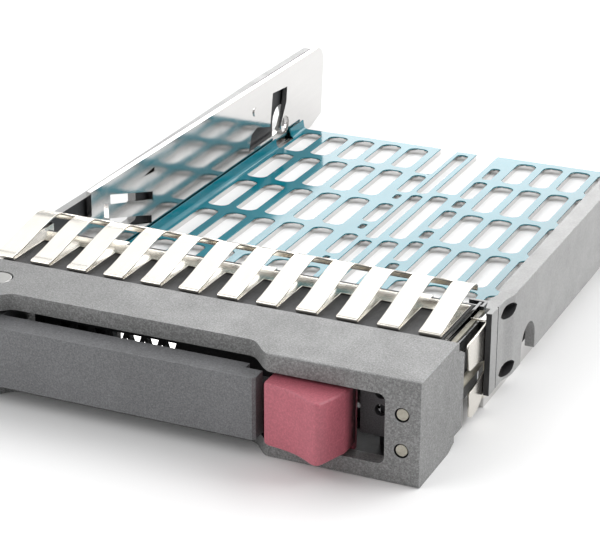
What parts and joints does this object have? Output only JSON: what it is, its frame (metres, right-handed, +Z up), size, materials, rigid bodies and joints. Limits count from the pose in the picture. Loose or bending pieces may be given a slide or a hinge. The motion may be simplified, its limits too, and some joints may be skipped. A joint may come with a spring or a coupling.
{
  "type": "hot-swap drive tray",
  "caption": "Empty hot-swap tray for a 2.5-inch drive: perforated steel tray, side rails, front bezel with a hinged eject lever and a sliding release button.",
  "frame": {"origin": "centre of the bounding box, at its bottom", "axes": "+X to the right seen from the front bezel, +Y from the bezel to the rear (the way the tray slides in), +Z up"},
  "size_m": [0.076, 0.1394, 0.0165],
  "materials": {
    "bezel_plastic": "matt, fine texture",
    "lever_plastic": "matt, fine texture",
    "dark_plastic": "matt",
    "grey_plastic": "matt",
    "gloss_plastic": "gloss",
    "light_pipe": "gloss, frosted",
    "spring_steel": "bright",
    "stainless_steel": "polished",
    "blue_film": "gloss",
    "rail_plastic": "satin",
    "rivet_steel": "satin",
    "maroon_plastic": "satin"
  },
  "bodies": {
    "tray": {"bezel": "bezel_plastic", "vent_grille": "dark_plastic", "lamp_plate": "grey_plastic", "pipe_channel": "gloss_plastic", "light_pipe_upper": "light_pipe", "light_pipe_lower": "light_pipe", "emi_clip_top": "spring_steel", "emi_clip_bottom": "spring_steel", "side_spring_right": "spring_steel", "side_spring_left": "spring_steel", "tray_pan": "stainless_steel", "insulator_film": "blue_film", "rail_left": "rail_plastic", "rail_right": "rail_plastic", "rail_rivet_left_front": "rivet_steel", "rail_rivet_left_rear": "rivet_steel", "rail_rivet_right_front": "rivet_steel", "rail_rivet_right_rear": "rivet_steel", "bezel_screw_left": "rivet_steel", "bezel_screw_right": "rivet_steel", "lever_pin": "rivet_steel", "lever_spring": "spring_steel", "button_spring": "spring_steel"},
    "lever": {"eject_lever": "lever_plastic"},
    "button": {"release_button": "maroon_plastic"}
  },
  "joints": [
    {"name": "lever_swing", "type": "hinge", "parent": "tray", "child": "lever", "pos_m": [-0.0303, -0.05685, 0.0075], "axis": [0, 0, -1], "range_deg": [0, 55], "deforming": ["lever_spring"]},
    {"name": "button_slide", "type": "slide", "parent": "tray", "child": "button", "axis": [1, 0, 0], "range_m": [0, 0.004], "stiffness_N_per_m": 400, "springref_m": -0.002, "deforming": ["button_spring"]}
  ]
}
